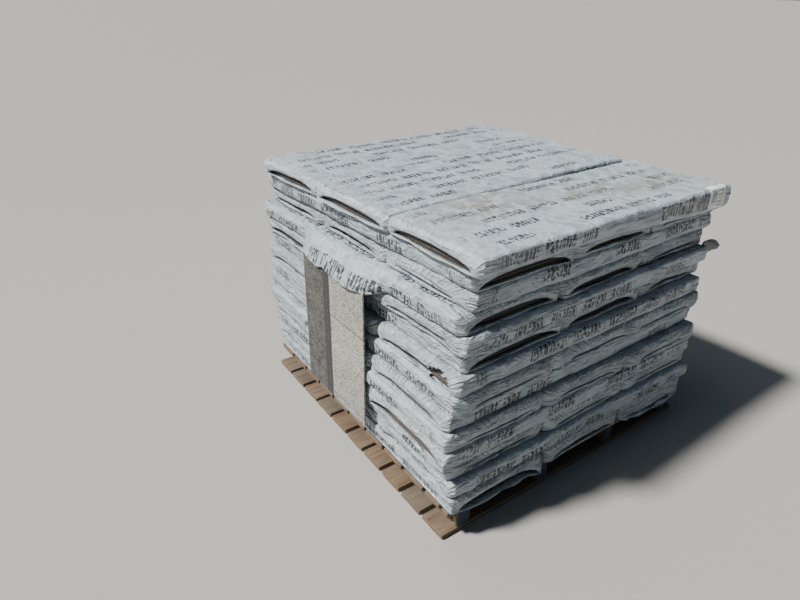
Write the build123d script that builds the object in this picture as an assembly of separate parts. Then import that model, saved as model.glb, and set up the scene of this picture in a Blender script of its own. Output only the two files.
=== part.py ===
from build123d import *
import math
import os

# A pallet load of asphalt shingle bundles: film-wrapped bundles, three to a layer, each layer
# turned across the one below, on a low double-deck wood pallet. One loose shingle hangs down
# the left face. Millimetres, +Z up. The right face of the load looks to -Y, the left one to -X.

bundles_per_layer = 3

# shingles
shingle_length = 1000.0
crossing_surplus = 11.0      # the bundles of a layer are this much wider than one shingle's length
shingle_width = (shingle_length + crossing_surplus) / bundles_per_layer
ply_thickness = 2.3          # a laminated shingle is two plies where it shows on a roof
leaves_per_bundle = 10       # shingles seen edge on at a bundle's end
leaf_setback = 3.0           # every second shingle stops this much short

# film wrapper of a bundle
film_thickness = 2.0         # the film with the air and folds under it
side_room = 0.2              # between shingles and film, at the sides and above
end_room = 8.0               # between the shingles' ends and the film
end_drop_above = 16.0        # how far the film slopes in at an end
end_drop_below = 4.0
film_edge_bevel = 4.0
slit_length = 290.0          # each end is open in a slit with a straight lower lip and an arched upper one
slit_height = 19.0
slit_sill = 9.0              # its lower lip's height above the bundle's underside

# load
layer_count = 14
bundle_gap = 2.0
bundle_slide = 5.0           # how far bundles of a layer are out of line at their ends
layer_shift = [              # x and y of each layer from the pallet's middle, lowest first
    (2, 0), (6, 5), (8, 18), (-10, 12), (-10, 8), (-6, 36), (10, 22),
    (10, 34), (36, 52), (20, 40), (20, 60), (50, 64), (50, 60), (32, 46),
]
layer_turn = [0.1, -0.1, 0.2, 0.0, 0.2, 0.5, 0.7, 0.9, 1.3, 1.2, 1.6, 2.0, 2.4, 3.2]
swung_bundle_turn = -1.8     # degrees, the near bundle of the top layer about its left end

# loose shingle
loose_layer = 10             # it lies on the middle bundle of this layer
loose_drop = 445.0           # from the top of that bundle to its hanging end
loose_bend_radius = 9.0
loose_clearance = 1.0        # between it and the bundles that it hangs past
loose_offset = 0.0           # along the left face, from the bundle's middle
shim_width = 165.0           # the second ply covers this much of the width

# pallet
pallet_length = 1016.0       # along X, the boards' direction
pallet_width = 1004.0        # along Y, the stringers' direction
board_width = 88.9
board_thickness = 16.0
least_board_gap = 11.0
ripped_boards = (26.0, 62.0)  # widths of the upper deck's two narrow boards, nearest first
stringer_count = 4
stringer_width = 38.0
stringer_height = 56.0
wing = 44.0                  # boards run past the outer stringers by this much
bottom_deck_shift = -13.0    # the lower deck sits out of line with the upper one

leaf_thickness = 2 * ply_thickness
wrapper_length = shingle_length + 2 * (end_room + film_thickness)
wrapper_width = shingle_width + 2 * (side_room + film_thickness)
pallet_height = 2 * board_thickness + stringer_height


def wrapper_height(leaves):
    return leaves * leaf_thickness + side_room + 2 * film_thickness


layer_height = wrapper_height(leaves_per_bundle)


def shingle_stack(leaves):
    """Shingles of one bundle, along X, with their stepped ends; z = 0 is the bundle's underside."""
    right = []
    for leaf in range(leaves):
        reach = shingle_length / 2 - leaf_setback * (leaf % 2)
        low = film_thickness + leaf * leaf_thickness
        right += [(reach, low), (reach, low + leaf_thickness)]
    left = [(-x, z) for x, z in reversed(right)]
    profile = make_face(Polyline(*right, *left, close=True))
    return extrude(Plane.XZ * profile, shingle_width / 2, both=True)


def bundle_wrapper(leaves):
    """Film sleeve of one bundle, along X: sloped ends, bevelled long edges, a slit at each end."""
    height = wrapper_height(leaves)
    half = wrapper_length / 2
    right = [(half - end_room, 0), (half, end_drop_below),
             (half, height - end_drop_above), (half - end_room, height)]
    left = [(-x, z) for x, z in reversed(right)]
    side_face = make_face(Polyline(*right, *left, close=True))
    outer = extrude(Plane.XZ * side_face, wrapper_width / 2, both=True)
    section = chamfer(Rectangle(wrapper_width, height).vertices(), film_edge_bevel)
    sleeve = extrude(Plane.YZ * Pos(0, height / 2) * section, half, both=True)
    cavity_face = offset(side_face, -film_thickness, kind=Kind.INTERSECTION)
    cavity = extrude(Plane.XZ * cavity_face, wrapper_width / 2 - film_thickness, both=True)
    tip = slit_length / 2
    lips = [Line((-tip, 0), (tip, 0)), ThreePointArc((tip, 0), (0, slit_height), (-tip, 0))]
    slits = extrude(Plane.YZ * Pos(0, slit_sill) * make_face(lips), wrapper_length, both=True)
    return (outer & sleeve) - cavity - slits


def bundle_place(layer, slot):
    """Where a bundle lies: layers and slots count from 1, slot 1 is at the near or left side."""
    shift_x, shift_y = layer_shift[(layer - 1) % len(layer_shift)]
    turn = layer_turn[(layer - 1) % len(layer_turn)]
    across = (slot - (bundles_per_layer + 1) / 2) * (wrapper_width + bundle_gap)
    along = bundle_slide * math.sin(2.4 * layer + 1.7 * slot)
    height = pallet_height + (layer - 1) * layer_height
    crosswise = 0 if layer % 2 == 0 else 90
    side = across if crosswise == 0 else -across
    place = Pos(shift_x, shift_y, height) * Rot(0, 0, turn + crosswise) * Pos(along, side)
    if layer == layer_count and slot == 1:
        pivot = Pos(-wrapper_length / 2, 0)
        place = place * pivot * Rot(0, 0, swung_bundle_turn) * pivot.inverse()
    return place


def loose_shingle(reach):
    """Laminated shingle bent over a bundle's end, in that bundle's frame; reach is out to its back."""
    flat_length = shingle_length - loose_drop
    height = wrapper_height(leaves_per_bundle - 1)

    def ply(low, high, width, middle):
        bend = loose_bend_radius
        centre = (-reach + bend, height - bend)
        outline = [
            Line((centre[0] + flat_length, height + low), (centre[0], height + low)),
            CenterArc(centre, bend + low, 90, 90),
            Line((-reach - low, centre[1]), (-reach - low, height - loose_drop)),
            Line((-reach - low, height - loose_drop), (-reach - high, height - loose_drop)),
            Line((-reach - high, height - loose_drop), (-reach - high, centre[1])),
            CenterArc(centre, bend + high, 90, 90),
            Line((centre[0], height + high), (centre[0] + flat_length, height + high)),
            Line((centre[0] + flat_length, height + high), (centre[0] + flat_length, height + low)),
        ]
        sheet = extrude(Plane.XZ * make_face(outline), width / 2, both=True)
        return Pos(0, middle) * sheet

    near_half = loose_offset - (shingle_width - shim_width) / 2
    back = ply(0, ply_thickness, shingle_width, loose_offset)
    return back + ply(ply_thickness, leaf_thickness, shim_width, near_half)


def deck_boards(height, shift, ripped=()):
    """Boards of one deck, along X, spread evenly from the near edge; the ripped ones come first."""
    taken = sum(ripped) + least_board_gap * len(ripped)
    whole = int((pallet_width - taken + least_board_gap) / (board_width + least_board_gap))
    widths = [*ripped, *[board_width] * whole]
    gap = (pallet_width - sum(widths)) / (len(widths) - 1)
    boards = []
    near_edge = -pallet_width / 2
    for width in widths:
        middle = Pos(shift, near_edge + width / 2, height + board_thickness / 2)
        boards.append(middle * Box(pallet_length, width, board_thickness))
        near_edge += width + gap
    return boards


def stringers():
    """Stringers, along Y, between the decks."""
    span = pallet_length - 2 * wing - stringer_width
    bar = Pos(0, 0, board_thickness + stringer_height / 2) * Box(stringer_width, pallet_width, stringer_height)
    return [Pos(-span / 2 + span * index / (stringer_count - 1)) * bar for index in range(stringer_count)]


def load_nodes():
    """Every piece of the load, by node name."""
    nodes = {}
    stacks = {leaves: (shingle_stack(leaves), bundle_wrapper(leaves))
              for leaves in (leaves_per_bundle, leaves_per_bundle - 1)}
    middle = (bundles_per_layer + 1) // 2
    for layer in range(1, layer_count + 1):
        shingles, wrappers = [], []
        for slot in range(1, bundles_per_layer + 1):
            under_loose = layer == loose_layer and slot == middle
            stack, wrapper = stacks[leaves_per_bundle - under_loose]
            place = bundle_place(layer, slot)
            shingles.append(place * stack)
            wrappers.append(place * wrapper)
        nodes[f"shingles_layer_{layer:02d}"] = shingles
        nodes[f"wrapper_layer_{layer:02d}"] = wrappers

    place = bundle_place(loose_layer, middle)
    turn = math.radians(place.orientation.Z)
    passed = [wrapper for layer in range(1, loose_layer + 1)
              for wrapper in nodes[f"wrapper_layer_{layer:02d}"]]
    left_face = min(wrapper.bounding_box().min.X for wrapper in passed)
    swing = shingle_width * abs(math.sin(turn))
    reach = (place.position.X - left_face + loose_clearance + swing) / math.cos(turn)
    nodes["hanging_shingle"] = [place * loose_shingle(reach)]
    return nodes


def pallet_nodes():
    """Every piece of the pallet, by node name."""
    nodes = {
        "bottom_deck_boards": deck_boards(0, bottom_deck_shift),
        "top_deck_boards": deck_boards(board_thickness + stringer_height, 0, ripped_boards),
    }
    for number, bar in enumerate(stringers(), 1):
        nodes[f"stringer_{number}"] = [bar]
    return nodes


os.makedirs("parts", exist_ok=True)
all_nodes = {**pallet_nodes(), **load_nodes()}
box = Compound([piece for pieces in all_nodes.values() for piece in pieces]).bounding_box()
to_origin = Pos(-(box.min.X + box.max.X) / 2, -(box.min.Y + box.max.Y) / 2, -box.min.Z)
print("moved by", to_origin.position, "size", box.size)
for name, pieces in all_nodes.items():
    placed = [to_origin * piece for piece in pieces]
    export_step(Compound(placed), f"parts/{name}.step")
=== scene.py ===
import bpy, math
import numpy as np
from mathutils import Matrix, Vector
from types import SimpleNamespace


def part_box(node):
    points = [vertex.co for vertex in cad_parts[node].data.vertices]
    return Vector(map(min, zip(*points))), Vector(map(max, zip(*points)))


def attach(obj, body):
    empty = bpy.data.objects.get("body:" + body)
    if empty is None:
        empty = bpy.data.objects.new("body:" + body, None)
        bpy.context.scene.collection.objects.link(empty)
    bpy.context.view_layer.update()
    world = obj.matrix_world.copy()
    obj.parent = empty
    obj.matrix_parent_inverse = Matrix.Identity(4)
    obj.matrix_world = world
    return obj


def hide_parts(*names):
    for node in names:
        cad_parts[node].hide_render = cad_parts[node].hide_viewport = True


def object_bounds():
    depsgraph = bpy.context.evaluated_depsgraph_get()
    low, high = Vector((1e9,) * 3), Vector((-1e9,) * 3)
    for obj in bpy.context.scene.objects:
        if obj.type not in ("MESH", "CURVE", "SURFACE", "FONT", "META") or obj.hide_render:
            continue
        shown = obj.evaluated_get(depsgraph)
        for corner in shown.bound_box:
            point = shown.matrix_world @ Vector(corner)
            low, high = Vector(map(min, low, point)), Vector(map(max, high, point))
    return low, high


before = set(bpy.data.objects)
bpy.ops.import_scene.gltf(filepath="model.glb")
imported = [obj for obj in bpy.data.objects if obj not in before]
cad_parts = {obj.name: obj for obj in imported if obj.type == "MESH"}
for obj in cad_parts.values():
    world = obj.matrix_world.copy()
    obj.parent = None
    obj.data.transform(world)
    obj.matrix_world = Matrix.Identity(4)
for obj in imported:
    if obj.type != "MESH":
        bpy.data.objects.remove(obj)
cadLow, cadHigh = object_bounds()

layerCount = sum(name.startswith("wrapper_layer_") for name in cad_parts)
stringerCount = sum(name.startswith("stringer_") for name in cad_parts)
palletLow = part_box("bottom_deck_boards")[0]
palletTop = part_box("top_deck_boards")[1][2]
looseLow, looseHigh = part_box("hanging_shingle")
plyThickness = 0.0023       # a laminated shingle is two plies


# noise

latticeSize = 8192
latticeKeys = (73856093, 19349663, 83492791, 2654435)      # these scatter neighbouring places over the lattice
lattice = np.random.default_rng(41).uniform(-1, 1, latticeSize)


def latticeValue(*numbers):
    key = 0
    for number, scatter in zip(numbers, latticeKeys):
        key = key ^ (number * scatter)
    return lattice[key & (latticeSize - 1)]


def softNoise(points, size, seed):
    # smooth noise from -1 to 1, over lumps of the given size
    p = np.asarray(points, float) / np.asarray(size, float)
    base = np.floor(p).astype(np.int64)
    part = p - base
    part = part * part * (3 - 2 * part)
    total = 0
    for dx in (0, 1):
        for dy in (0, 1):
            for dz in (0, 1):
                weight = (np.abs(1 - dx - part[..., 0]) * np.abs(1 - dy - part[..., 1])
                          * np.abs(1 - dz - part[..., 2]))
                total = total + weight * latticeValue(base[..., 0] + dx, base[..., 1] + dy, base[..., 2] + dz, seed)
    return total


def creaseNoise(points, size, seed):
    # sharp ridges, from 0 in the hollows to 1 on the folds
    first = 1 - np.abs(softNoise(points, size, seed))
    second = 1 - np.abs(softNoise(points, np.asarray(size) * 0.53, seed + 7))
    return 0.62 * first ** 2.2 + 0.38 * second ** 2.2


def rising(value, span):
    # from 0 to 1 over the span
    return np.clip(value / span, 0, 1)


def falling(value, span):
    # from 1 to 0 over the span
    return np.clip(1 - value / span, 0, 1)


# places and meshes


def solidsOf(nodeName):
    # vertex sets of a node's separate solids
    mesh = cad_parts[nodeName].data
    count = len(mesh.vertices)
    places = np.zeros(count * 3, np.float32)
    mesh.vertices.foreach_get("co", places)
    places = places.reshape(-1, 3).astype(float)
    keys = {}
    owner = np.array([keys.setdefault(tuple(row), len(keys)) for row in np.round(places * 1e5).astype(int)])
    parent = list(range(len(keys)))

    def root(a):
        while parent[a] != a:
            parent[a] = parent[parent[a]]
            a = parent[a]
        return a

    for edge in mesh.edges:
        a, b = root(owner[edge.vertices[0]]), root(owner[edge.vertices[1]])
        parent[a] = b
    groups = {}
    for index in range(count):
        groups.setdefault(root(owner[index]), []).append(index)
    return [places[rows] for rows in groups.values()]


def lyingPlace(points):
    # middle, direction, length, width, underside and top of one long flat solid
    flat = points[:, :2]
    along = np.linalg.eigh(np.cov((flat - flat.mean(0)).T))[1][:, 1]
    along = along * np.sign(along[np.argmax(np.abs(along))])
    across = np.array([-along[1], along[0]])
    u, v = flat @ along, flat @ across
    middle = along * (u.min() + u.max()) / 2 + across * (v.min() + v.max()) / 2
    return {"middle": middle, "along": along, "across": across,
            "length": u.max() - u.min(), "width": v.max() - v.min(),
            "low": points[:, 2].min(), "high": points[:, 2].max()}


def toRow(place, local):
    # from a bundle's own frame (along, across, up from its underside) to the part's frame
    out = np.empty_like(local)
    out[:, :2] = place["middle"] + local[:, :1] * place["along"] + local[:, 1:2] * place["across"]
    out[:, 2] = place["low"] + local[:, 2]
    return out


def gridFaces(rows, columns, closed=False):
    # quads over a grid of points, row after row; closed joins the last column to the first
    ids = np.arange(rows * columns).reshape(rows, columns)
    if closed:
        ids = np.concatenate([ids, ids[:, :1]], 1)
    return np.stack([ids[:-1, :-1], ids[:-1, 1:], ids[1:, 1:], ids[1:, :-1]], -1).reshape(-1, 4)


def makeObject(name, part, smooth=True):
    # a part is a dictionary of verts and faces, with uvs and extra values for each vertex where it has them
    mesh = bpy.data.meshes.new(name)
    mesh.from_pydata([tuple(v) for v in part["verts"]], [], [tuple(int(i) for i in f) for f in part["faces"]])
    mesh.update()
    if smooth:
        mesh.polygons.foreach_set("use_smooth", [True] * len(mesh.polygons))
    loopVerts = np.zeros(len(mesh.loops), np.int32)
    mesh.loops.foreach_get("vertex_index", loopVerts)
    if "uvs" in part:
        layer = mesh.uv_layers.new(name="film")
        layer.data.foreach_set("uv", np.asarray(part["uvs"], np.float32)[loopVerts].ravel())
    for key, values in part.get("extra", {}).items():
        attribute = mesh.attributes.new(key, "FLOAT", "POINT")
        attribute.data.foreach_set("value", np.asarray(values, np.float32))
    thing = bpy.data.objects.new(name, mesh)
    bpy.context.scene.collection.objects.link(thing)
    return thing


def joined(parts):
    # one part from several of the same kind
    faces, start = [], 0
    for part in parts:
        faces += [tuple(i + start for i in f) for f in part["faces"]]
        start += len(part["verts"])
    whole = {key: np.vstack([part[key] for part in parts]) for key in ("verts", "uvs") if key in parts[0]}
    extra = {key: np.concatenate([part["extra"][key] for part in parts]) for key in parts[0].get("extra", {})}
    return {**whole, "faces": faces, "extra": extra}


print("helpers ready, layers:", layerCount)

# nodes of the materials


def feed(tree, node, sockets):
    # gives each named or numbered socket its value, or a link from another socket
    for label, value in sockets.items():
        socket = node.inputs[label]
        if isinstance(value, (int, float)):
            socket.default_value = value
        elif isinstance(value, tuple):
            socket.default_value = (*value, 1) if socket.type == "RGBA" else value
        else:
            tree.links.new(value, socket)


def addNode(tree, kind, sockets, **settings):
    node = tree.nodes.new(kind)
    for key, value in settings.items():
        setattr(node, key, value)
    feed(tree, node, sockets)
    return node.outputs


def newMaterial(name):
    material = bpy.data.materials.new(name)
    material.use_nodes = True
    return material, material.node_tree, material.node_tree.nodes["Principled BSDF"]


def sums(tree):
    # the Math node's operations in one tree, as plain calls
    def call(operation):
        def made(*values, clamp=False):
            return addNode(tree, "ShaderNodeMath", dict(enumerate(values)), operation=operation, use_clamp=clamp)[0]
        return made

    names = {"plus": "ADD", "minus": "SUBTRACT", "times": "MULTIPLY", "over": "DIVIDE", "above": "GREATER_THAN",
             "below": "LESS_THAN", "absolute": "ABSOLUTE", "floor": "FLOOR", "fraction": "FRACT", "larger": "MAXIMUM"}
    return SimpleNamespace(**{name: call(operation) for name, operation in names.items()})


def vectorSum(tree, operation, *values):
    return addNode(tree, "ShaderNodeVectorMath", dict(enumerate(values)), operation=operation)


def mixColour(tree, mask, a, b):
    return addNode(tree, "ShaderNodeMix", {0: mask, 6: a, 7: b}, data_type="RGBA")[2]


def ramp(tree, value, low, high):
    return addNode(tree, "ShaderNodeMapRange", {"Value": value, "From Min": low, "From Max": high},
                   interpolation_type="SMOOTHSTEP")["Result"]


def noise(tree, vector, scale, detail, **more):
    return addNode(tree, "ShaderNodeTexNoise", {"Vector": vector, "Scale": scale, "Detail": detail, **more})


def objectPlace(tree):
    return addNode(tree, "ShaderNodeTexCoord", {})["Object"]


def filmMap(tree):
    return addNode(tree, "ShaderNodeUVMap", {}, uv_map="film")[0]


def split(tree, vector):
    return addNode(tree, "ShaderNodeSeparateXYZ", {0: vector})


def pointValue(tree, name):
    return addNode(tree, "ShaderNodeAttribute", {}, attribute_name=name)["Fac"]


def bumpOf(tree, height, strength, distance):
    return addNode(tree, "ShaderNodeBump", {"Height": height, "Strength": strength, "Distance": distance})[0]


def startGroup(name, inputs, outputs):
    # a node group, its inputs named with their first values
    group = bpy.data.node_groups.new(name, "ShaderNodeTree")
    for label, value in inputs.items():
        kind = "NodeSocketVector" if isinstance(value, tuple) else "NodeSocketFloat"
        group.interface.new_socket(label, in_out="INPUT", socket_type=kind).default_value = value
    for label in outputs:
        group.interface.new_socket(label, in_out="OUTPUT", socket_type="NodeSocketFloat")
    return group, group.nodes.new("NodeGroupInput").outputs, group.nodes.new("NodeGroupOutput")


def useGroup(tree, group, **values):
    node = tree.nodes.new("ShaderNodeGroup")
    node.node_tree = group
    feed(tree, node, values)
    return node.outputs


def makeDirtGroup():
    # dust and dirt in soft patches: a mask from 0 to 1
    group, start, end = startGroup("dirtPatches", {"Size": 4.0, "Amount": 0.5, "Seed": 0.0}, ["Mask"])
    calc = sums(group)
    broad = addNode(group, "ShaderNodeTexNoise", {
        "Vector": objectPlace(group), "Scale": start["Size"], "W": start["Seed"], "Detail": 5.0, "Roughness": 0.62},
        noise_dimensions="4D")[0]
    shifted = calc.plus(broad, calc.minus(start["Amount"], 1.0))
    feed(group, end, {"Mask": calc.times(shifted, 3.2, clamp=True)})
    return group


printRows = {
    "spacing": 0.0637, "onTop": 0.028, "onSide": 0.030,         # of the rows, and their height on top and at the side
    "firstSideRow": 2.5,
    "stroke": 0.014, "strokeGap": 0.13, "cutScale": 95.0, "cut": 0.40,
    "wordScale": 7.5, "wordGap": 0.09, "blank": 0.24, "blankOnSide": 0.09,      # shares of words that are left out
    "wobble": 0.014, "wobbleScale": 26.0, "slant": 0.8, "rowShift": 0.377, "worn": (0.34, 0.42),
}


def makePrintGroup():
    # rows of plain printed strokes, laid out on the film's own map: x along the bundle, y across its top, in metres
    group, start, end = startGroup("strokeRows", {
        "Row": printRows["spacing"], "Tall": printRows["onSide"], "Low": printRows["onTop"],
        "Stroke": printRows["stroke"], "Seed": 0.0}, ["Mask"])
    calc, place = sums(group), filmMap(group)
    wobble = noise(group, place, printRows["wobbleScale"], 3.0)[0]
    wave = calc.times(calc.minus(wobble, 0.5), printRows["wobble"])
    rows = calc.plus(calc.over(calc.plus(split(group, place)[1], wave), start["Row"]), 0.5)
    rowNumber = calc.floor(rows)
    inRow = calc.times(calc.absolute(calc.minus(calc.fraction(rows), 0.5)), start["Row"])
    onSide = calc.above(calc.absolute(rowNumber), printRows["firstSideRow"])
    half = calc.times(calc.plus(start["Low"], calc.times(onSide, calc.minus(start["Tall"], start["Low"]))), 0.5)
    inBand = calc.below(inRow, half)
    shift = calc.plus(calc.times(rowNumber, printRows["rowShift"]), start["Seed"])
    along = calc.plus(split(group, place)[0], calc.plus(calc.times(wave, printRows["slant"]), shift))

    def cells(feature, spot, scale):
        return addNode(group, "ShaderNodeTexVoronoi", {"W": spot, "Scale": scale}, voronoi_dimensions="1D",
                       feature=feature)

    strokes = cells("DISTANCE_TO_EDGE", calc.over(along, start["Stroke"]), 1.0)["Distance"]
    cuts = noise(group, place, printRows["cutScale"], 0.0)[0]
    ink = calc.times(calc.above(strokes, printRows["strokeGap"]), calc.above(cuts, printRows["cut"]))
    pick = split(group, cells("F1", along, printRows["wordScale"])["Color"])[0]
    wordEdge = cells("DISTANCE_TO_EDGE", along, printRows["wordScale"])["Distance"]
    blank = calc.plus(printRows["blank"], calc.times(onSide, printRows["blankOnSide"]))
    word = calc.times(calc.above(pick, blank), calc.above(wordEdge, printRows["wordGap"]))
    wear = ramp(group, wobble, *printRows["worn"])
    feed(group, end, {"Mask": calc.times(calc.times(inBand, ink), calc.times(word, wear))})
    return group


crinkle = {                     # for each kind of crease: stretch of the place, how far it is bent, scale, sharpness
    "folds": ((1, 1, 1), (0.07, 0.07, 0.07), 13.0, 8.5),
    "crackle": ((1, 1, 1.3), (0.05, 0.05, 0.05), 34.0, 6.5),
    "streaks": ((7, 52, 1), (0.6, 1.6, 0.0), 1.0, 8.5),         # these run in from the ends, on the film's own map
    "rings": ((5, 5, 72), (0.6, 0.6, 2.2), 1.0, 8.0),           # these run round the bundle, lying flat
    "heights": {"folds": 0.85, "streaks": 1.25, "rings": 0.55},
}


def makeCrinkleGroup():
    # creases of thin film as a height
    group, start, end = startGroup("filmCrinkle", {"Ends": 0.0, "Panel": 0.0, "Fine": 0.42}, ["Height"])
    calc, place, heights = sums(group), objectPlace(group), crinkle["heights"]
    bend = noise(group, place, 11.0, 2.0)["Color"]

    def ridges(kind, source):
        stretch, bent, scale, sharp = crinkle[kind]
        stretched = vectorSum(group, "MULTIPLY", source, stretch)[0]
        moved = vectorSum(group, "MULTIPLY_ADD", bend, bent, stretched)[0]
        value = noise(group, moved, scale, 3.0, Roughness=0.55)[0]
        return calc.minus(1.0, calc.times(calc.absolute(calc.minus(value, 0.5)), sharp), clamp=True)

    where = ramp(group, noise(group, place, 8.0, 2.0)[0], 0.36, 0.62)
    total = calc.times(ridges("folds", place), heights["folds"])
    total = calc.plus(total, calc.times(calc.times(ridges("crackle", place), where), start["Fine"]))
    streaks = calc.times(ridges("streaks", filmMap(group)), start["Ends"])
    total = calc.plus(total, calc.times(streaks, heights["streaks"]))
    calmPlaces = calc.plus(calc.minus(1.2, where), calc.times(start["Panel"], 1.2))
    total = calc.plus(total, calc.times(calc.times(ridges("rings", place), calmPlaces), heights["rings"]))
    feed(group, end, {"Height": total})
    return group


def makeGrainGroup():
    # sawn wood: streaks along one axis as a tone, and with the saw's marks as a height
    group, start, end = startGroup("sawnGrain", {"Stretch": (1.5, 26.0, 26.0), "Seed": 0.0}, ["Tone", "Height"])
    calc, place = sums(group), objectPlace(group)
    streak = addNode(group, "ShaderNodeTexNoise", {
        "Vector": vectorSum(group, "MULTIPLY", place, start["Stretch"])[0], "W": start["Seed"], "Scale": 3.0,
        "Detail": 7.0, "Roughness": 0.68, "Distortion": 0.35}, noise_dimensions="4D")[0]
    saw = noise(group, place, 240.0, 3.0)[0]
    feed(group, end, {"Tone": streak, "Height": calc.plus(streak, calc.times(saw, 0.35))})
    return group


dirtGroup = makeDirtGroup()
printGroup = makePrintGroup()
crinkleGroup = makeCrinkleGroup()
grainGroup = makeGrainGroup()

# materials

filmLook = {
    "clean": (0.405, 0.47, 0.515), "cool": (0.315, 0.375, 0.42), "coolShare": 0.8,
    # hollowShade is painted shade, darkening the film in the crease hollows
    "hollowShade": (0.185, 0.22, 0.25), "hollowShadeShare": 0.50, "hollowShadeHeights": (0.10, 0.74),
    # rubbedHighlight is rubbed wear together with a painted highlight on the crease ridges
    "rubbedHighlight": (0.60, 0.63, 0.63), "rubbedHighlightShare": 0.55, "rubbedHighlightHeights": (0.95, 1.9),
    "dirt": (0.20, 0.172, 0.142), "dirtShare": 0.55, "dirtRough": 0.4,
    "print": (0.014, 0.016, 0.020), "printShare": 0.9, "printFade": 1.3,        # the print fades towards the ends
    "rough": 0.37, "specular": 0.50, "coat": 0.12, "coatRough": 0.22, "crease": 0.0056,
}


def filmMaterial(name, dirtAmount, seed, dirtSize=3.4, darkSpots=(), crease=1.0, fine=0.42):
    # darkSpots: middle and reach of patches that are darker, browner and rougher than the rest
    material, tree, shader = newMaterial(name)
    calc, look = sums(tree), filmLook
    tone = useGroup(tree, dirtGroup, Size=9.0, Amount=0.50, Seed=seed)["Mask"]
    dirt = useGroup(tree, dirtGroup, Size=dirtSize, Amount=dirtAmount, Seed=seed + 3)["Mask"]
    rows = useGroup(tree, printGroup, Seed=seed * 1.3)["Mask"]
    nearEnd, panel = pointValue(tree, "nearEnd"), pointValue(tree, "endPanel")
    besidePanel = calc.times(nearEnd, calc.minus(1.0, panel, clamp=True))
    creased = useGroup(tree, crinkleGroup, Ends=besidePanel, Panel=panel, Fine=fine)["Height"]
    # painted shade: the film is darkened in the crease hollows
    hollowShade = calc.minus(1.0, ramp(tree, creased, *look["hollowShadeHeights"]))
    # rubbed wear and a painted highlight: the film is lightened on the crease ridges
    rubbedHighlight = ramp(tree, creased, *look["rubbedHighlightHeights"])
    printed = calc.times(rows, calc.minus(look["printShare"], calc.times(nearEnd, look["printFade"]), clamp=True))
    colour = mixColour(tree, calc.times(tone, look["coolShare"]), look["clean"], look["cool"])
    colour = mixColour(tree, calc.times(hollowShade, look["hollowShadeShare"]), colour, look["hollowShade"])
    colour = mixColour(tree, calc.times(rubbedHighlight, look["rubbedHighlightShare"]), colour, look["rubbedHighlight"])
    colour = mixColour(tree, printed, colour, look["print"])
    mask = calc.times(dirt, look["dirtShare"])
    if darkSpots:
        place = objectPlace(tree)
        grit = ramp(tree, noise(tree, place, 30.0, 5.0, Roughness=0.7)[0], 0.34, 0.66)
    for middle, size in darkSpots:
        reach = vectorSum(tree, "DIVIDE", vectorSum(tree, "SUBTRACT", place, middle)[0], size)[0]
        inside = calc.minus(1.0, vectorSum(tree, "LENGTH", reach)["Value"], clamp=True)
        mask = calc.larger(mask, calc.times(grit, calc.times(inside, 1.15, clamp=True)))
    feed(tree, shader, {
        "Base Color": mixColour(tree, mask, colour, look["dirt"]),
        "Roughness": calc.plus(calc.times(mask, look["dirtRough"]), look["rough"]),
        "Specular IOR Level": look["specular"], "Coat Weight": look["coat"], "Coat Roughness": look["coatRough"],
        "Normal": bumpOf(tree, creased, 1.0, look["crease"] * crease)})
    return material


edgeLook = {"plies": ((0.022, 0.020, 0.020), (0.085, 0.074, 0.068)), "grit": (0.15, 0.135, 0.12), "rough": 0.9}


def edgeMaterial():
    # cut edges of shingles: every ply has its own tone, with pale grit
    material, tree, shader = newMaterial("shingleEdges")
    calc, place = sums(tree), objectPlace(tree)
    ply = calc.floor(calc.over(split(tree, place)[2], plyThickness))
    tone = addNode(tree, "ShaderNodeTexWhiteNoise", {"W": ply}, noise_dimensions="1D")["Value"]
    grit = noise(tree, place, 420.0, 3.0)[0]
    colour = mixColour(tree, tone, *edgeLook["plies"])
    feed(tree, shader, {
        "Base Color": mixColour(tree, ramp(tree, grit, 0.35, 0.75), colour, edgeLook["grit"]),
        "Roughness": edgeLook["rough"], "Normal": bumpOf(tree, grit, 0.6, 0.0015)})
    return material


woodLook = {                    # two colours: a fresh board's and a grey board's
    "pale": ((0.190, 0.120, 0.060), (0.112, 0.088, 0.060)), "dark": ((0.078, 0.048, 0.027), (0.058, 0.049, 0.038)),
    "sawn": (0.19, 0.132, 0.078), "sawnShare": 0.6, "dirt": (0.13, 0.115, 0.095), "dirtShare": 0.55,
    "paint": (0.020, 0.034, 0.062), "rough": 0.86,
    "boardGrain": (1.5, 26.0, 26.0), "stringerGrain": (26.0, 1.5, 26.0),        # stretched along the long axis
}


def woodMaterial(name, stretch, seed, paintedTo=None):
    # paintedTo: in front of this y the wood has worn paint on it
    material, tree, shader = newMaterial(name)
    calc = sums(tree)
    grain = useGroup(tree, grainGroup, Stretch=stretch, Seed=seed)
    dirt = useGroup(tree, dirtGroup, Size=9.0, Amount=0.64, Seed=seed + 3)["Mask"]
    tone, sawn = pointValue(tree, "boardTone"), pointValue(tree, "sawnEnd")
    pale, dark = (mixColour(tree, tone, *woodLook[key]) for key in ("pale", "dark"))
    colour = mixColour(tree, ramp(tree, grain["Tone"], 0.36, 0.62), dark, pale)
    colour = mixColour(tree, calc.times(sawn, woodLook["sawnShare"]), colour, woodLook["sawn"])
    colour = mixColour(tree, calc.times(dirt, woodLook["dirtShare"]), colour, woodLook["dirt"])
    if paintedTo is not None:
        painted = calc.below(split(tree, objectPlace(tree))[1], paintedTo)
        worn = ramp(tree, grain["Tone"], 0.30, 0.46)
        colour = mixColour(tree, calc.times(painted, worn), colour, woodLook["paint"])
    feed(tree, shader, {"Base Color": colour, "Roughness": woodLook["rough"],
                        "Normal": bumpOf(tree, grain["Height"], 0.55, 0.0022)})
    return material


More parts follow.
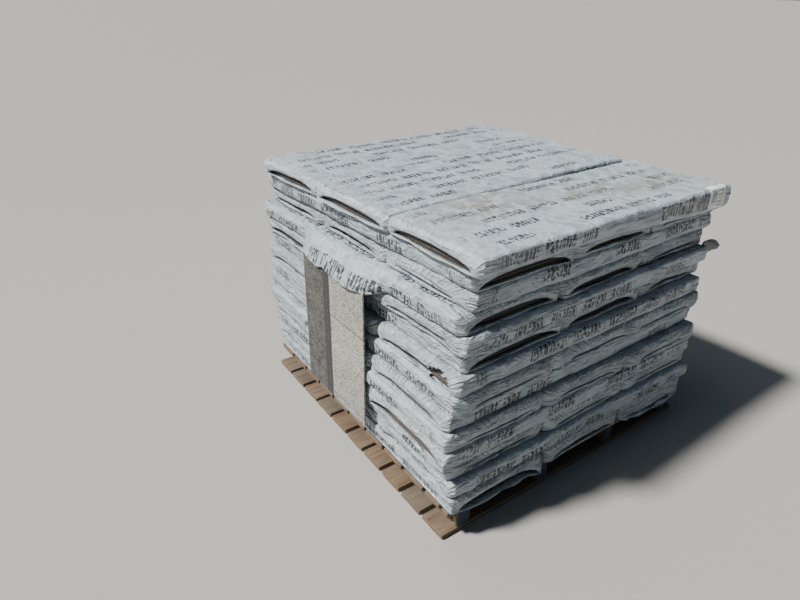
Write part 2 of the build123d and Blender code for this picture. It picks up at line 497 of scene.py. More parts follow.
looseLook = {                   # places are metres across from the shingle's middle, or down from its top
    "darkHalf": ((0.030, 0.030, 0.028), (0.160, 0.158, 0.147)),
    "paleHalf": ((0.13, 0.132, 0.118), (0.50, 0.505, 0.455)), "paleTo": 0.008,
    "mottle": (0.20, 0.20, 0.175), "mottleShare": 0.35, "wander": 0.006,
    "seam": (0.042, 0.042, 0.043), "seams": ((0.029, 0.017, 0.72), (0.041, 0.004, 0.70), (0.017, 0.005, 0.80)),
    "line": (0.042, 0.041, 0.040), "lines": ((0.152, 0.0022, 0.70), (0.286, 0.0018, 0.38), (0.425, 0.0022, 0.55)),
    "linesTo": 0.006,
    "tab": (0.218, 0.070), "recess": (0.10, 0.10, 0.09), "recessShare": 0.16, "recessTo": -0.005,
    "recessEdge": (-0.007, 0.0020, 0.75), "rough": 0.92,
}


def looseMaterial():
    # granules in bands over the width: dark half, doubled dark seam, pale half with fine lines across and one tab
    material, tree, shader = newMaterial("looseShingle")
    calc, place, look = sums(tree), objectPlace(tree), looseLook
    spot = split(tree, place)
    wander = calc.times(calc.minus(noise(tree, place, 60.0, 2.0)[0], 0.5), look["wander"])
    across = calc.plus(calc.minus(spot[1], (looseLow[1] + looseHigh[1]) / 2), wander)
    down = calc.plus(calc.minus(looseHigh[2], spot[2]), wander)

    def band(source, middle, half):
        near = calc.absolute(calc.minus(source, middle))
        return calc.minus(1.0, ramp(tree, near, half * 0.6, half * 1.3))

    granules = addNode(tree, "ShaderNodeTexVoronoi", {"Vector": place, "Scale": 360.0}, feature="F1")
    pick = split(tree, granules["Color"])
    darkHalf = mixColour(tree, ramp(tree, pick[0], 0.25, 0.95), *look["darkHalf"])
    paleHalf = mixColour(tree, ramp(tree, pick[1], 0.05, 0.60), *look["paleHalf"])
    mottle = ramp(tree, noise(tree, place, 36.0, 4.0)[0], 0.4, 0.7)
    onPale = calc.below(across, look["linesTo"])
    recess = calc.times(calc.minus(1.0, band(down, *look["tab"])), calc.below(across, look["recessTo"]))
    colour = mixColour(tree, calc.below(across, look["paleTo"]), darkHalf, paleHalf)
    colour = mixColour(tree, calc.times(mottle, look["mottleShare"]), colour, look["mottle"])
    colour = mixColour(tree, calc.times(recess, look["recessShare"]), colour, look["recess"])
    for middle, half, share in look["seams"]:
        colour = mixColour(tree, calc.times(band(across, middle, half), share), colour, look["seam"])
    edge, edgeHalf, edgeShare = look["recessEdge"]
    marks = [(calc.times(recess, band(across, edge, edgeHalf)), edgeShare)]
    marks += [(calc.times(onPale, band(down, middle, half)), share) for middle, half, share in look["lines"]]
    for mask, share in marks:
        colour = mixColour(tree, calc.times(mask, share), colour, look["line"])
    feed(tree, shader, {"Base Color": colour, "Roughness": look["rough"],
                        "Normal": bumpOf(tree, granules["Distance"], 0.7, 0.0016)})
    return material


labelLook = {                   # places are shares of the label's own width and height
    "paper": (0.88, 0.89, 0.88), "mark": (0.20, 0.22, 0.25), "markShare": 0.75, "soil": (0.35, 0.31, 0.26),
    "soilShare": 0.3, "bars": 7.0, "barShare": 0.42, "barsFrom": 0.46, "barsTo": 0.90,
    "block": ((0.24, 0.13), (0.5, 0.24)), "rough": 0.45,
}


def labelMaterial():
    # white paper with a few plain grey bars and one grey block
    material, tree, shader = newMaterial("labelPaper")
    calc, look = sums(tree), labelLook
    across, down = split(tree, filmMap(tree))[:2]
    line = calc.below(calc.fraction(calc.times(down, look["bars"])), look["barShare"])
    bars = calc.times(line, calc.times(calc.above(across, look["barsFrom"]), calc.below(across, look["barsTo"])))
    inBlock = [calc.below(calc.absolute(calc.minus(spot, middle)), half)
               for spot, (middle, half) in zip((across, down), look["block"])]
    marks = calc.larger(bars, calc.times(*inBlock))
    soil = useGroup(tree, dirtGroup, Size=30.0, Amount=0.5, Seed=6.0)["Mask"]
    colour = mixColour(tree, calc.times(marks, look["markShare"]), look["paper"], look["mark"])
    colour = mixColour(tree, calc.times(soil, look["soilShare"]), colour, look["soil"])
    feed(tree, shader, {"Base Color": colour, "Roughness": look["rough"]})
    return material


def plainMaterial(name, colour, rough):
    material, tree, shader = newMaterial(name)
    feed(tree, shader, {"Base Color": colour, "Roughness": rough})
    return material


darkPatches = (               # darker brown patches on the near top bundle; the last one, at its right end, darkens the seam along its side
    ((-0.23, -0.26, 0.79), (0.26, 0.13, 0.10)), ((0.33, -0.38, 0.79), (0.26, 0.10, 0.10)),
    ((0.10, -0.33, 0.79), (0.20, 0.07, 0.08)), ((0.36, -0.52, 0.757), (0.12, 0.06, 0.034)))
sideFilm = filmMaterial("filmSides", 0.36, 1.0)
topFilm = filmMaterial("filmTop", 0.34, 4.0, crease=0.50, fine=0.16)
nearFilm = filmMaterial("filmTopNear", 0.42, 9.0, dirtSize=2.6, darkSpots=darkPatches, crease=0.46, fine=0.12)
shingleEdges = edgeMaterial()
deckWood = woodMaterial("deckWood", woodLook["boardGrain"], 3.0)
stringerWood = woodMaterial("stringerWood", woodLook["stringerGrain"], 8.0, paintedTo=palletLow[1] + 0.004)
looseGranules = looseMaterial()
labelPaper = labelMaterial()
# the pulled-out flap's film is given a dark colour: painted shade
shadedFlapFilm = plainMaterial("filmFlapPaintedShade", (0.10, 0.105, 0.11), 0.42)
floorPale = plainMaterial("floorPale", (0.36, 0.352, 0.335), 0.9)
print("materials ready")

# film of the bundles

film = {
    "edgeRadius": 0.010, "endRoom": 0.009, "slitLength": 0.300, "slitHeight": 0.021, "sill": 0.008,
    "closedRise": 0.008,        # a closed slit lies this much higher
    "lip": 0.012,               # the film turns in by this much behind the slit
    "rowCrowding": 0.80,        # rows stand closer together towards the ends
    "endZone": 0.075,           # wrinkles that run out from an end fade over this length
    "endWrinkle": 0.0054, "sideCrumple": 0.0036, "topCrumple": 0.0026, "bulge": 0.0040, "lean": 0.0042,
    "edgeZone": 0.022, "edgeWrinkle": 0.0026, "topWave": 0.0026,
    "endDip": 0.0065,           # the top of the load dips towards the bundles' ends
    "pushLimits": (-0.0080, 0.0095),
    "tuck": 0.014,              # the sides of the lowest layer stand back, most at the foot
    "panelFold": 0.014, "panelBuckle": 0.0042, "panelOut": 0.0015, "lipWander": 0.0026,
    "ear": 0.014, "earFrom": 0.085, "earZone": 0.07,      # folded corners, from this far off a bundle's middle line
    "seamWobble": 0.0034, "seamZone": 0.03,     # the joints between layers wander up and down by this much
}
outerGrid = {"under": 16, "top": 26, "side": 11, "corner": 3, "rows": 104, "endRows": 7, "fine": 0.026}
innerGrid = {"under": 16, "top": 30, "side": 9, "corner": 3, "rows": 34, "endRows": 7, "fine": 0.026}
topGrid = {"under": 14, "top": 76, "side": 12, "corner": 4, "rows": 186, "endRows": 10, "fine": 0.013}
openSlits = {                   # how far the slits of each layer stand open, from the near or left bundle on
    14: (1.0, 0.85, 0.85), 13: (1.0, 0.55, 0.10), 12: (0.12, 0.45, 0.40), 11: (1.0, 0.8, 0.15),
    10: (0.30, 0.4, 0.75), 9: (0.95, 0.85, 0.20), 8: (0.60, 0.4, 0.50), 7: (0.12, 0.22, 0.10),
    6: (0.80, 0.4, 0.30), 5: (0.10, 0.16, 0.10), 4: (1.25, 0.4, 0.35), 3: (0.12, 0.20, 0.12),
    2: (0.70, 0.4, 0.30), 1: (0.95, 0.55, 0.12),
}


def ringOf(width, height, grid, openness, seed):
    # points round the sleeve, with their way out, and their place on the slit's lips
    r = min(film["edgeRadius"], height * 0.42)
    half = width / 2
    under = np.linspace(-(half - r), half - r, grid["under"])
    over = np.linspace(-(half - r), half - r, grid["top"])
    rise = np.linspace(r, height - r, grid["side"])
    turn = np.linspace(0, math.pi / 2, grid["corner"] + 2)[1:-1]
    points = [(y, 0.0, 0, -1) for y in under]
    points += [(half - r + r * math.sin(a), r - r * math.cos(a), math.sin(a), -math.cos(a)) for a in turn]
    points += [(half, z, 1, 0) for z in rise]
    points += [(half - r + r * math.cos(a), height - r + r * math.sin(a), math.cos(a), math.sin(a)) for a in turn]
    points += [(y, height, 0, 1) for y in over[::-1]]
    points += [(-half + r - r * math.sin(a), height - r + r * math.cos(a), -math.sin(a), math.cos(a)) for a in turn]
    points += [(-half, z, -1, 0) for z in rise[::-1]]
    points += [(-half + r - r * math.cos(a), r - r * math.sin(a), -math.cos(a), -math.sin(a)) for a in turn]
    ring = np.array(points)
    y, z = ring[:, 0], ring[:, 1]
    random = np.random.default_rng(900 + seed)
    tip = film["slitLength"] / 2 * (0.72 + 0.28 * openness) * random.uniform(0.92, 1.04)
    centre = random.uniform(-0.016, 0.016) * (1.2 - openness)
    lipY = np.clip(y / half, -1, 1) * tip + centre
    blunt = np.clip(1 - np.abs((lipY - centre) / tip) ** 2.6, 0, 1) ** 0.55
    tilt = random.uniform(-0.003, 0.003) * (lipY - centre) / tip
    sill = film["sill"] + film["closedRise"] * (1 - openness)
    upper = z > height / 2
    lipZ = np.where(upper, sill + 0.0012 + film["slitHeight"] * openness * blunt, sill - 0.0015 * blunt) + tilt
    sides = np.abs(ring[:, 2]) > 0.8
    lipZ = np.where(sides, sill + (z / height - 0.5) * 0.006 + tilt, lipZ)
    step = np.hypot(np.diff(y, append=y[0]), np.diff(z, append=z[0]))
    arc = np.concatenate([[0], np.cumsum(step)[:-1]])
    topMiddle = arc[np.argmin(np.where(ring[:, 3] > 0.99, np.abs(y), 9))]
    return {"y": y, "z": z, "outY": ring[:, 2], "outZ": ring[:, 3], "lipY": lipY, "lipZ": lipZ,
            "arc": arc - topMiddle, "closed": 1 - openness}


def sleeveRows(place, ring, grid):
    # the smooth sleeve from end to end: x, y, z, the way out, and t, which goes from 0 to 1 down an end panel
    half = place["length"] / 2
    straight = half - film["endRoom"]
    none = np.zeros_like(ring["y"])
    quarter = math.pi / 2 * film["rowCrowding"]
    s = np.sin(np.linspace(-1, 1, grid["rows"]) * quarter) / math.sin(quarter)
    middle = [(none + x, ring["y"], ring["z"], none, ring["outY"], ring["outZ"], none) for x in s * straight]

    def endRows(sign):
        made = []
        for t in np.linspace(0, 1, grid["endRows"] + 1)[1:]:
            fold = t ** 1.15
            x = straight + film["endRoom"] * (1 - (1 - t) ** 2.0) + 0.0015 * math.sin(math.pi * t)
            y = ring["y"] * (1 - fold) + ring["lipY"] * fold
            z = ring["z"] * (1 - fold) + ring["lipZ"] * fold
            made.append((none + sign * x, y, z, none + sign * t, ring["outY"] * (1 - t), ring["outZ"] * (1 - t),
                         none + t))
        for depth, spread in ((0.003, 0.0008), (film["lip"], 0.003)):
            z = ring["lipZ"] + np.sign(ring["outZ"]) * spread * (np.abs(ring["outZ"]) > 0.5)
            made.append((none + sign * (half - depth), ring["lipY"] * (1 + spread), z, none, none, none, none + 1))
        return made

    return np.array(endRows(-1)[::-1] + middle + endRows(1)).transpose(1, 0, 2)


def bundleFilm(place, grid, seed, topShows, openness, sag=None, tucked=False):
    height = place["high"] - place["low"]
    ring = ringOf(place["width"], height, grid, openness, seed)
    x, y, z, outX, outY, outZ, t = sleeveRows(place, ring, grid)
    local = np.stack([x, y, z], -1)
    shape = x.shape
    world = toRow(place, local.reshape(-1, 3)).reshape(*shape, 3)
    probe = world + seed * 0.37

    arc = np.broadcast_to(ring["arc"], shape)
    straight = place["length"] / 2 - film["endRoom"]
    nearEnd = np.exp(-np.maximum(straight - np.abs(x), 0) / film["endZone"] * 2.0)
    nearEdge = np.exp(-np.maximum(place["width"] / 2 - np.abs(y), 0) / film["edgeZone"])
    sideWays = np.abs(outY)
    upWays = np.maximum(outZ, 0) * (1.0 if topShows else 0.12)
    shows = np.clip(sideWays + upWays + t, 0.05, 1)
    fine = grid["fine"]
    key = np.full(shape, seed * 0.61)      # gives each bundle its own stretch of noise

    def wrinkle(u, v, sizeU, sizeV, number):
        return creaseNoise(np.stack([u, v, key], -1), (sizeU, sizeV, 0.05), number + seed) - 0.42

    # folds that run in from the ends, and folds over the long edges
    endFold = wrinkle(arc, x, fine * 1.5, 0.13, 11) + 0.6 * wrinkle(arc, x, fine * 0.8, 0.07, 23)
    edgeFold = wrinkle(x + 0.4 * z, y, fine * (3.4 if topShows else 1.3), 0.06, 37)
    # lengthwise folds on the sides, and a crumple all over
    level = wrinkle(world[..., 0] + world[..., 1], world[..., 2], 0.15, 0.017, 43)
    broad = creaseNoise(probe, (0.13, 0.13, 0.05), 5) - 0.45
    small = creaseNoise(probe, (fine * 1.8, fine * 1.8, fine), 7) - 0.45
    share = np.clip(z / height, 0, 1)
    bulge = 4 * share * (1 - share) * (0.7 + 0.7 * softNoise(probe, 0.17, 31))
    lean = (share - 0.5) * (softNoise(probe, 0.23, 33) + 0.25) * film["lean"]
    crumple = film["sideCrumple"] * (0.9 * level + 0.6 * small + 0.6 * broad)
    push = (sideWays * (crumple + film["bulge"] * bulge + lean)
            + upWays * film["topCrumple"] * (1.1 * broad + 0.22 * small)
            + film["endWrinkle"] * nearEnd * (1 - 0.85 * t) * endFold * shows
            + film["edgeWrinkle"] * nearEdge * edgeFold * shows * (1 - t)
            + t * (1 - t) * film["panelFold"] * (0.7 * small + level) * (0.7 + ring["closed"]))
    if topShows:
        push = push + upWays * film["topWave"] * softNoise(probe, 0.21, 51) * (1 - nearEnd)
        push = push - upWays * nearEnd * film["endDip"] * (0.6 + 0.5 * softNoise(probe, 0.12, 61))
    push = np.clip(push, *film["pushLimits"])
    if tucked:
        push = push - film["tuck"] * sideWays * (1 - 0.35 * share)
    local = local + np.stack([outX * push, outY * push, outZ * push], -1)

    # the end panels buckle, their folded corners stand out like ears, and their lips wander
    panel = np.sin(np.pi * np.clip(t, 0, 1))
    buckle = panel * (film["panelBuckle"] * softNoise(probe, (0.05, 0.05, 0.022), 81) + film["panelOut"])
    corner = rising(np.abs(y) - film["earFrom"], film["earZone"]) * t * (1 - 0.35 * t)
    cornerKey = np.stack([np.sign(x) * 3.3, np.sign(y) * 5.1, key * 7], -1)
    ear = film["ear"] * corner * np.clip(softNoise(cornerKey, 1.0, 71) + 0.35, 0, 1)
    local[..., 0] += np.sign(x) * (buckle + ear)
    local[..., 2] += (t ** 3) * film["lipWander"] * softNoise(np.stack([y * 16, x, key * 5], -1), 1.0, 91)
    if sag is not None:
        local = sag(local, place)

    verts = toRow(place, local.reshape(-1, 3))
    # joints between layers wander together, so the layers still meet
    wander = film["seamWobble"] * softNoise(verts, (0.12, 0.12, 0.075), 97)
    zone = film["seamZone"]
    verts[:, 2] += wander * (rising(verts[:, 2] - palletTop, zone) * rising(cadHigh[2] - verts[:, 2], zone))
    uvs = np.stack([x + seed * 0.31, arc], -1).reshape(-1, 2)
    return {"verts": verts, "faces": gridFaces(*shape, closed=True), "uvs": uvs, "shape": shape, "local": local,
            "extra": {"nearEnd": np.clip(nearEnd, 0, 1).ravel(), "endPanel": np.clip(t, 0, 1).ravel()}}


pocket = {"inside": 0.012, "ramp": 0.008, "share": 0.49, "height": 0.046, "drop": 0.026, "out": 0.012}
lowSide = {"ramp": 0.36, "drop": 0.021, "out": 0.003}
lip = {"height": 0.016, "inside": 0.014, "ramp": 0.006, "half": 0.150, "out": 0.010,
       "cornerAt": 0.135, "cornerReach": 0.020, "cornerOut": 0.012}
drape = {"over": 0.035, "clear": 0.0065, "drop": 0.021, "ragged": 0.40}


def droopingEnd(local, place):
    # the film of a bottom bundle hangs in a pocket over the pallet's near edge
    x, y, z = np.moveaxis(local, -1, 0)
    reach = rising(-x - (place["length"] / 2 - pocket["inside"]), pocket["ramp"])
    across = np.clip(1 - (np.abs(y) / (place["width"] * pocket["share"])) ** 4, 0, 1)
    pull = reach * across * falling(z, pocket["height"]) ** 0.7
    crumple = softNoise(np.stack([y / 0.035, z / 0.012, x], -1), 1.0, 19)
    moved = local.copy()
    moved[..., 2] -= pocket["drop"] * pull * (1 + 0.25 * crumple)
    moved[..., 0] -= pocket["out"] * pull * (1 + 0.5 * crumple)
    return moved


def hangingSide(local, place):
    # the near top bundle's right end stands out past the layers below, and its film hangs lower there
    x, y, z = np.moveaxis(local, -1, 0)
    reach = rising(x - 0.02, lowSide["ramp"])
    edge = rising(-y - (place["width"] / 2 - 0.035), 0.030)
    end = rising(x - (place["length"] / 2 - 0.030), 0.022)
    pull = falling(z, 0.050) * np.maximum(edge * reach ** 0.7, end * np.clip(0.55 - y / 0.30, 0, 1))
    moved = local.copy()
    moved[..., 2] -= lowSide["drop"] * pull
    moved[..., 1] -= lowSide["out"] * pull * edge
    return moved


def standingLip(local, place):
    # the lower lip of the near bottom bundle stands out below its slit, and ends in a folded corner
    x, y, z = np.moveaxis(local, -1, 0)
    low = falling(z, lip["height"])
    reach = rising(-x - (place["length"] / 2 - lip["inside"]), lip["ramp"])
    across = np.clip(1 - (np.abs(y + 0.01) / lip["half"]) ** 6, 0, 1)
    corner = np.exp(-((np.abs(y) - lip["cornerAt"]) / lip["cornerReach"]) ** 2) * (y < 0)
    moved = local.copy()
    moved[..., 0] -= reach * (lip["out"] * low * across + lip["cornerOut"] * corner * falling(z, 0.035))
    return moved


def drapedSide(local, place):
    # the film of the bundle above the loose shingle droops over the bend, with a ragged lower edge
    spot = [place["middle"][axis] + local[..., 0] * place["along"][axis] + local[..., 1] * place["across"][axis]
            for axis in (0, 1)]
    depth = spot[0] - looseLow[0] + drape["clear"]
    middle, reach = (looseLow[1] + looseHigh[1]) / 2, (looseHigh[1] - looseLow[1]) / 2 + drape["over"]
    inside = np.clip(1 - (np.abs(spot[1] - middle) / reach) ** 8, 0, 1)
    ragged = softNoise(np.stack([spot[1] / 0.030, local[..., 2] / 0.03, spot[1] * 0], -1), 1.0, 23)
    edge = rising(local[..., 1] - (place["width"] / 2 - 0.022), 0.018)
    pull = inside * edge * falling(local[..., 2], 0.044) ** 0.45
    moved = local.copy()
    moved[..., 1] += pull * depth
    moved[..., 2] -= drape["drop"] * pull * (1 + drape["ragged"] * ragged)
    return moved


tear = {"layer": 8, "slot": 0, "fromEnd": 0.004, "fromSide": 0.066, "height": 0.018,
        "radius": (0.045, 0.052, 0.024)}


def tornOpen(part, place):
    # a hole with a ragged edge in one end
    faces = np.array(part["faces"])
    middle = part["local"].reshape(-1, 3)[faces].mean(1)
    fromEnd = middle[:, 0] + place["length"] / 2
    fromSide = middle[:, 1] + place["width"] / 2
    spread = np.stack([fromEnd - tear["fromEnd"], fromSide - tear["fromSide"], middle[:, 2] - tear["height"]], -1)
    keep = np.linalg.norm(spread / tear["radius"], axis=1) + 0.35 * softNoise(middle, 0.012, 5) > 1
    used = np.unique(faces[keep])
    order = -np.ones(len(part["verts"]), int)
    order[used] = np.arange(len(used))
    return {"verts": part["verts"][used], "uvs": part["uvs"][used], "faces": order[faces[keep]],
            "extra": {key: values[used] for key, values in part["extra"].items()}}


bundlePlaces = {}
for layer in range(1, layerCount + 1):
    places = [lyingPlace(points) for points in solidsOf(f"wrapper_layer_{layer:02d}")]
    lengthwise = abs(places[0]["along"][0]) > 0.7
    bundlePlaces[layer] = sorted(places, key=lambda place: place["middle"][1 if lengthwise else 0])
print("bundles found:", sum(len(places) for places in bundlePlaces.values()))

# bundles with a form of their own, by layer and by slot from the near or left side
sags = {(1, 0): standingLip, (1, 2): droopingEnd, (11, 0): drapedSide, (layerCount, 0): hangingSide}
for layer in range(1, layerCount + 1):
    isTop = layer == layerCount
    parts = []
    for slot, place in enumerate(bundlePlaces[layer]):
        grid = topGrid if isTop else innerGrid if slot == 1 else outerGrid
        part = bundleFilm(place, grid, layer * 3 + slot, isTop, openSlits[layer][slot], sags.get((layer, slot)),
                          tucked=layer == 1)
        if (layer, slot) == (tear["layer"], tear["slot"]):
            part = tornOpen(part, place)
        parts.append(part)
    piece = makeObject(f"film_layer_{layer:02d}", joined(parts))
    if isTop:
        piece.data.materials.append(topFilm)
        piece.data.materials.append(nearFilm)
        index = np.zeros(len(piece.data.polygons), np.int32)
        index[:len(parts[0]["faces"])] = 1
        piece.data.polygons.foreach_set("material_index", index)
    else:
        piece.data.materials.append(sideFilm)
    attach(piece, "root")
    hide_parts(f"wrapper_layer_{layer:02d}")
nearPart, nearPlace = parts[0], bundlePlaces[layerCount][0]
print("film made")

# paper label and pulled-out film

label = {"fromEnd": (0.042, 0.128), "above": 0.005, "over": 0.012, "lift": 0.0007}


def labelPatch(part, place):
    # a label on the long side and a little of the top, lifted off the film that it follows
    rows, columns = part["shape"]
    spots, local = part["verts"].reshape(rows, columns, 3), part["local"]
    fromEnd = place["length"] / 2 - local[:, 0, 0]
    rowPick = np.where((fromEnd > label["fromEnd"][0]) & (fromEnd < label["fromEnd"][1]))[0]
    across, up = local[rows // 2, :, 1], local[rows // 2, :, 2]
    half, top = place["width"] / 2, place["high"] - place["low"]
    onSide = (across < -half + 0.006) & (up > label["above"])
    onTop = (up > top - 0.006) & (across < -half + 0.010 + label["over"])
    patch = spots[np.ix_(rowPick, np.where(onSide | onTop)[0])].copy()
    outward = np.cross(np.gradient(patch, axis=0), np.gradient(patch, axis=1))
    outward /= np.linalg.norm(outward, axis=2, keepdims=True)
    if outward[..., 1].mean() > 0:
        outward = -outward
    patch += outward * label["lift"]
    rows, columns = patch.shape[:2]
    unit = np.stack(np.meshgrid(np.linspace(0, 1, rows), np.linspace(0, 1, columns), indexing="ij"), -1)
    return {"verts": patch.reshape(-1, 3), "faces": gridFaces(rows, columns), "uvs": unit.reshape(-1, 2)}


paper = makeObject("bundle_label", labelPatch(nearPart, nearPlace))
paper.data.materials.append(labelPaper)
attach(paper, "root")

flap = {"layer": 10, "points": 12, "inside": 0.022, "length": 0.084, "height": 0.044, "middle": 0.047, "curl": 0.012,
        "droop": 0.012, "thickness": 0.0016, "puff": 0.006}


def pulledEnd(place):
    # the end of a wrapper that is pulled out past the right edge of the load: two skins and the rims between them
    count = flap["points"]
    u, v = np.meshgrid(np.linspace(0, 1, count), np.linspace(-1, 1, count), indexing="ij")
    outline = flap["height"] / 2 * (1 - 0.55 * u ** 3) * np.sqrt(1 - 0.35 * u ** 2)
    front = np.stack([place["length"] / 2 - flap["inside"] + flap["length"] * np.sin(u * 1.35) / np.sin(1.35),
                      -place["width"] / 2 + 0.004 - flap["curl"] * u * 0.6 + 0.004 * v * v
                      + 0.002 * np.sin(9 * u + 4 * v),
                      flap["middle"] + v * outline - flap["droop"] * u ** 2], -1)
    front[..., 0] -= 0.006 * (v ** 2) * u
    back = front.copy()
    back[..., 1] += flap["thickness"] + flap["puff"] * (1 - v ** 2) * (1 - 0.4 * u)
    verts = toRow(place, np.concatenate([front.reshape(-1, 3), back.reshape(-1, 3)]))
    ids, behind = np.arange(count * count).reshape(count, count), count * count
    faces = gridFaces(count, count)[:, [0, 3, 2, 1]]
    rims = [(a, b, b + behind, a + behind) for line in (ids[-1, :], ids[::-1, 0], ids[:, -1])
            for a, b in zip(line[:-1], line[1:])]
    return {"verts": verts, "faces": faces.tolist() + (faces[:, ::-1] + behind).tolist() + rims,
            "uvs": np.zeros((len(verts), 2))}


pulledFilm = makeObject("film_end_flap", pulledEnd(bundlePlaces[flap["layer"]][0]))
pulledFilm.data.materials.append(shadedFlapFilm)
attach(pulledFilm, "root")
print("label and flap made")

# shingles inside

pile = {"sideInset": 0.007, "endInset": 0.0085, "ragged": 0.0040, "sideRagged": 0.0015, "floor": 0.0022,
        "gap": 0.00015,         # each ply stops this much short of its share of the height, above and below
        "tucked": 2.6,          # the sides of the lowest layer stand back this much more
        "topRoom": 0.0092}      # the film of the top layer dips at its ends, and the pile stays under it


def boxFaces(start):
    order = ((0, 3, 2, 1), (4, 5, 6, 7), (0, 1, 5, 4), (1, 2, 6, 5), (2, 3, 7, 6), (3, 0, 4, 7))
    return [tuple(start + i for i in f) for f in order]


def shinglePile(place, layer, random):
    # one bundle's plies, with ragged ends and sides
    room = pile["topRoom"] if layer == layerCount else 0
    inset = pile["sideInset"] * (pile["tucked"] if layer == 1 else 1)
    count = int((place["high"] - place["low"] - 2 * pile["floor"] - room) / plyThickness)
    verts, faces = [], []
    for ply in range(count):
        low = pile["floor"] + ply * plyThickness
        ends = place["length"] / 2 - pile["endInset"] - random.uniform(0, pile["ragged"], 2)
        side = place["width"] / 2 - inset - random.uniform(0, pile["sideRagged"])
        corners = [(-ends[0], -side), (ends[1], -side), (ends[1], side), (-ends[0], side)]
        faces += boxFaces(len(verts))
        verts += [(x, y, z) for z in (low + pile["gap"], low + plyThickness - pile["gap"]) for x, y in corners]
    return {"verts": toRow(place, np.array(verts)), "faces": faces}


for layer in range(1, layerCount + 1):
    random = np.random.default_rng(500 + layer)
    parts = [shinglePile(place, layer, random) for place in bundlePlaces[layer]]
    piece = makeObject(f"shingle_pile_{layer:02d}", joined(parts), smooth=False)
    piece.data.materials.append(shingleEdges)
    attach(piece, "root")
    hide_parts(f"shingles_layer_{layer:02d}")
print("shingles made")

# loose shingle keeps its solid

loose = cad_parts["hanging_shingle"]
loose.data.materials.clear()
loose.data.materials.append(looseGranules)

# pallet

board = {"cuts": (30, 5, 3), "round": 0.0022, "wear": 0.45, "warp": 0.0012, "ragged": 0.0015, "sawnDepth": 0.0012,
         "thick": 0.03, "thickWarp": 0.35}      # what is thicker than this warps less


def woodBar(low, high, longAxis, seed):
    # one sawn bar: a gridded box with soft arrises, slightly out of true
    low, high = np.array(low, float), np.array(high, float)
    size = high - low
    cuts = [0, 0, 0]
    for axis, count in zip(np.argsort(-size), board["cuts"]):
        cuts[axis] = count
    lines = []
    for axis in range(3):
        r = board["round"] / size[axis]
        inner = np.linspace(r, 1 - r, cuts[axis])
        lines.append(np.concatenate([[0, r * 0.3], inner, [1 - r * 0.3, 1]]))
    index, verts, faces = {}, [], []

    def vertex(i, j, k):
        if (i, j, k) not in index:
            index[(i, j, k)] = len(verts)
            verts.append((lines[0][i], lines[1][j], lines[2][k]))
        return index[(i, j, k)]

    n = [len(line) - 1 for line in lines]
    for axis in range(3):
        u, v = (axis + 1) % 3, (axis + 2) % 3
        for side in (0, n[axis]):
            for a in range(n[u]):
                for b in range(n[v]):
                    quad = []
                    for da, db in ((0, 0), (1, 0), (1, 1), (0, 1)):
                        spot = [0, 0, 0]
                        spot[axis], spot[u], spot[v] = side, a + da, b + db
                        quad.append(vertex(*spot))
                    faces.append(tuple(quad) if side else tuple(quad[::-1]))
    verts = np.array(verts)
    inward = np.where(verts > 0.5, -1, 1)
    points = low + verts * size
    edge = np.clip(1 - np.minimum(verts, 1 - verts) * size / board["round"], 0, 1)
    worn = 0.7 + 0.6 * softNoise(points, 0.035, seed)
    for axis in range(3):
        others = [o for o in range(3) if o != axis]
        pull = np.maximum(edge[:, others[0]], edge[:, others[1]]) * edge[:, axis]
        points[:, axis] += inward[:, axis] * pull * board["round"] * board["wear"] * worn
    thin = int(np.argmin(size))
    warp = board["warp"] * softNoise(points * [1, 1, 0], 0.3, seed + 3)
    points[:, thin] += warp * (board["thickWarp"] if size[thin] > board["thick"] else 1)
    ragged = board["ragged"] * np.abs(softNoise(points, 0.012, seed + 9))
    points[:, longAxis] += inward[:, longAxis] * edge[:, longAxis] * ragged
    points[:, 2] = np.maximum(points[:, 2], 0)
    return points, faces


def palletPiece(name, node, longAxis, look, seed):
    parts = []
    for number, points in enumerate(sorted(solidsOf(node), key=lambda p: p[:, 1].min())):
        verts, faces = woodBar(points.min(0), points.max(0), longAxis, seed + number * 5)
        tone = latticeValue(number * 7 + seed, 3, 5, 9) * 0.5 + 0.5
        ends, spot = (points[:, longAxis].min(), points[:, longAxis].max()), verts[:, longAxis]
        sawn = np.minimum(spot - ends[0], ends[1] - spot) < board["sawnDepth"]
        parts.append({"verts": verts, "faces": faces, "uvs": verts[:, :2],
                      "extra": {"boardTone": np.full(len(verts), tone), "sawnEnd": sawn.astype(float)}})
    piece = makeObject(name, joined(parts))
    piece.data.materials.append(look)
    piece.data.set_sharp_from_angle(angle=math.radians(50))
    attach(piece, "root")
    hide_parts(node)


palletPiece("upper_deck", "top_deck_boards", 0, deckWood, 20)
palletPiece("lower_deck", "bottom_deck_boards", 0, deckWood, 90)
for number in range(1, stringerCount + 1):
    palletPiece(f"bearer_{number}", f"stringer_{number}", 1, stringerWood, 160 + 11 * number)
print("pallet made")

# floor, light and camera

bpy.ops.mesh.primitive_plane_add(size=600, location=(0, 0, 0))
floor = bpy.context.object
floor.name = "floor"
floor.data.materials.append(floorPale)

sun = {"power": 7.5, "spread": 7, "tint": (1.0, 0.965, 0.92), "towards": (2.7, -1.05, -3.9)}
sky = {"tint": (0.52, 0.74, 1.0), "strength": 0.10}
lamps = {
    "overhead": {"place": (-0.8, 0.6, 4.2), "size": 2.4, "power": 20, "tint": (1, 1, 1)},
    "fillRight": {"place": (1.6, -3.6, 1.6), "size": 2.4, "power": 0.6, "tint": (0.80, 0.90, 1.0)},
}
lampTarget = (0, 0, 0.4)


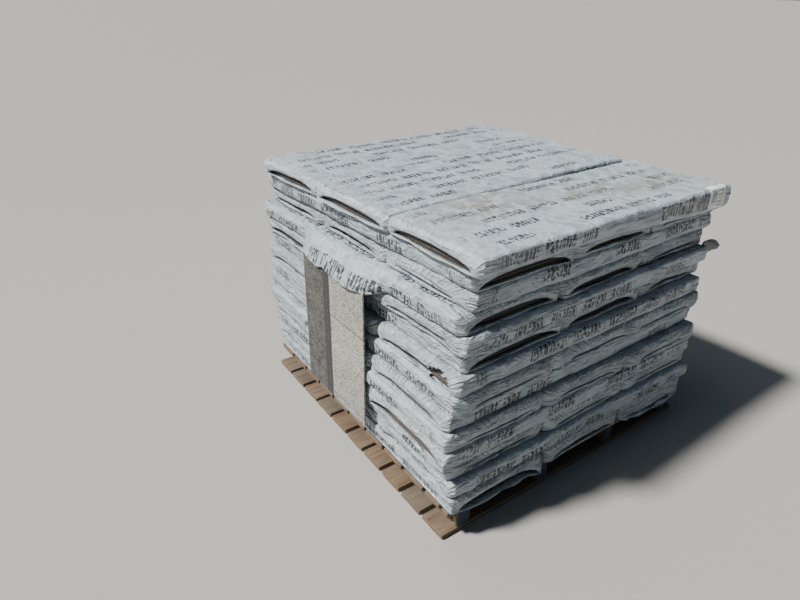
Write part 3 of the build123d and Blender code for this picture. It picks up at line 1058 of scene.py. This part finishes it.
def hangLight(light, towards, place=(0, 0, 0)):
    holder = bpy.data.objects.new(light.name, light)
    holder.location = place
    holder.rotation_euler = towards.to_track_quat("-Z", "Y").to_euler()
    bpy.context.scene.collection.objects.link(holder)


keyLight = bpy.data.lights.new("keyLeft", "SUN")
keyLight.energy, keyLight.angle, keyLight.color = sun["power"], math.radians(sun["spread"]), sun["tint"]
hangLight(keyLight, Vector(sun["towards"]))
for name, lamp in lamps.items():
    light = bpy.data.lights.new(name, "AREA")
    light.shape, light.size, light.energy, light.color = "DISK", lamp["size"], lamp["power"], lamp["tint"]
    hangLight(light, Vector(lampTarget) - Vector(lamp["place"]), lamp["place"])
world = bpy.data.worlds.new("studio")
world.use_nodes = True
background = world.node_tree.nodes["Background"]
background.inputs[0].default_value = (*sky["tint"], 1)
background.inputs[1].default_value = sky["strength"]
bpy.context.scene.world = world

photoView = {
    "standFromCorner": (-0.722, -0.822, 1.286),     # from the lower deck's near left corner
    "azimuth": 35.0, "pitch": 27.65, "roll": 0.9, "lens": 26.55, "sensor": 36.0,
}
cameraData = bpy.data.cameras.new("photoCamera")
cameraData.lens, cameraData.sensor_width = photoView["lens"], photoView["sensor"]
camera = bpy.data.objects.new("photoCamera", cameraData)
azimuth, pitch, roll = (math.radians(photoView[key]) for key in ("azimuth", "pitch", "roll"))
ahead = Vector((math.sin(azimuth), math.cos(azimuth), 0))
right = Vector((math.cos(azimuth), -math.sin(azimuth), 0))
forward = ahead * math.cos(pitch) - Vector((0, 0, math.sin(pitch)))
down = -ahead * math.sin(pitch) - Vector((0, 0, math.cos(pitch)))
seenRight = right * math.cos(roll) - down * math.sin(roll)
seenDown = right * math.sin(roll) + down * math.cos(roll)
turn = Matrix((seenRight, -seenDown, -forward)).transposed()
stand = Vector((palletLow[0], palletLow[1], 0)) + Vector(photoView["standFromCorner"])
camera.matrix_world = Matrix.Translation(stand) @ turn.to_4x4()
bpy.context.scene.collection.objects.link(camera)
bpy.context.scene.camera = camera
print("camera at", tuple(round(v, 3) for v in stand))
